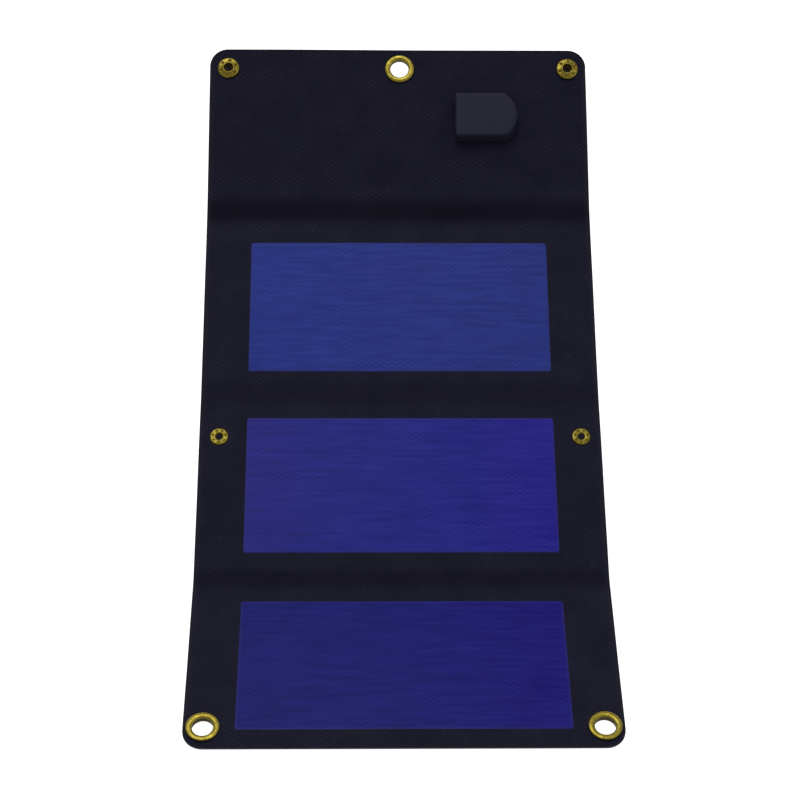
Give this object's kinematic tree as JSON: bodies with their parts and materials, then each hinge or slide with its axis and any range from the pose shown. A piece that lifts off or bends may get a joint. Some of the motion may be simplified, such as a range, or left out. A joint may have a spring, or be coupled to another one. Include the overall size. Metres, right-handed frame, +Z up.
{
  "type": "foldable solar panel",
  "caption": "Foldable camping solar panel: dark blue cells laminated in black cloth, soft folds between them, a USB box on a closing flap, brass eyelets and snaps.",
  "frame": {"origin": "centre of the bounding box's bottom face, with the panel lying face up and open", "axes": "+X along the panel's width, +Y towards the flap with the USB box, +Z up, out of the cells"},
  "size_m": [0.22, 0.4214, 0.0523],
  "materials": {
    "black_laminate": "black laminated cloth with a fine embossed weave, semi-matt",
    "solar_cell": "dark blue cell with faint fine lines, glossy under its film",
    "clear_film": "clear embossed cover film",
    "stiffener_board": "plain board, hidden",
    "flat_cable": "amber film cable",
    "brass": "olive gold, lightly worn",
    "box_housing": "charcoal, soft satin",
    "steel": "bright plated steel",
    "tongue_plastic": "white",
    "circuit_board": "green solder mask",
    "component_black": "black moulded"
  },
  "bodies": {
    "section_1": {"section_1_back_cover": "black_laminate", "section_1_board": "stiffener_board", "section_1_cable": "flat_cable", "section_1_clear_film": "clear_film", "section_1_front_cloth": "black_laminate", "section_1_solar_cell": "solar_cell"},
    "band_a": {"fold_a_cable": "flat_cable", "fold_a_strip": "black_laminate"},
    "flap": {"blocking_diode": "component_black", "box_screw_1": "steel", "box_screw_2": "steel", "cable_riser": "flat_cable", "capacitor": "steel", "circuit_board": "circuit_board", "eyelet_top": "brass", "eyelet_top_washer": "brass", "flap_back_cloth": "black_laminate", "flap_cable": "flat_cable", "flap_front_cloth": "black_laminate", "inductor": "component_black", "regulator_chip": "component_black", "snap_cap_left": "brass", "snap_cap_right": "brass", "snap_socket_left": "brass", "snap_socket_right": "brass", "usb_box_base": "box_housing", "usb_box_lid": "box_housing", "usb_shell": "steel", "usb_tongue": "tongue_plastic"},
    "band_b": {"fold_b_cable": "flat_cable", "fold_b_strip": "black_laminate"},
    "section_2": {"section_2_back_cover": "black_laminate", "section_2_board": "stiffener_board", "section_2_cable": "flat_cable", "section_2_clear_film": "clear_film", "section_2_front_cloth": "black_laminate", "section_2_solar_cell": "solar_cell", "snap_post_left": "brass", "snap_post_right": "brass", "snap_stud_left": "brass", "snap_stud_right": "brass"},
    "band_c": {"fold_c_cable": "flat_cable", "fold_c_strip": "black_laminate"},
    "section_3": {"eyelet_left": "brass", "eyelet_left_washer": "brass", "eyelet_right": "brass", "eyelet_right_washer": "brass", "section_3_back_cover": "black_laminate", "section_3_board": "stiffener_board", "section_3_cable": "flat_cable", "section_3_clear_film": "clear_film", "section_3_front_cloth": "black_laminate", "section_3_solar_cell": "solar_cell"}
  },
  "joints": [
    {"name": "fold_a_inner", "type": "hinge", "parent": "section_1", "child": "band_a", "pos_m": [0, 0.10637, 0.00109], "axis": [1, 0, 0], "range_deg": [-34.5, 85.5]},
    {"name": "fold_a_outer", "type": "hinge", "parent": "band_a", "child": "flap", "pos_m": [0, 0.11595, 0.00172], "axis": [1, 0, 0], "range_deg": [-34.5, 71.5]},
    {"name": "fold_b_inner", "type": "hinge", "parent": "section_1", "child": "band_b", "pos_m": [0, 0.00068, 0.00243], "axis": [-1, 0, 0], "range_deg": [-32.25, 87.75]},
    {"name": "fold_b_outer", "type": "hinge", "parent": "band_b", "child": "section_2", "pos_m": [0, -0.00701, 0.00283], "axis": [-1, 0, 0], "range_deg": [-32.25, 87.75]},
    {"name": "fold_c_inner", "type": "hinge", "parent": "section_2", "child": "band_c", "pos_m": [0, -0.11078, 0.01232], "axis": [-1, 0, 0], "range_deg": [-38.25, 81.75]},
    {"name": "fold_c_outer", "type": "hinge", "parent": "band_c", "child": "section_3", "pos_m": [0, -0.11496, 0.01332], "axis": [-1, 0, 0], "range_deg": [-38.25, 81.75]}
  ]
}
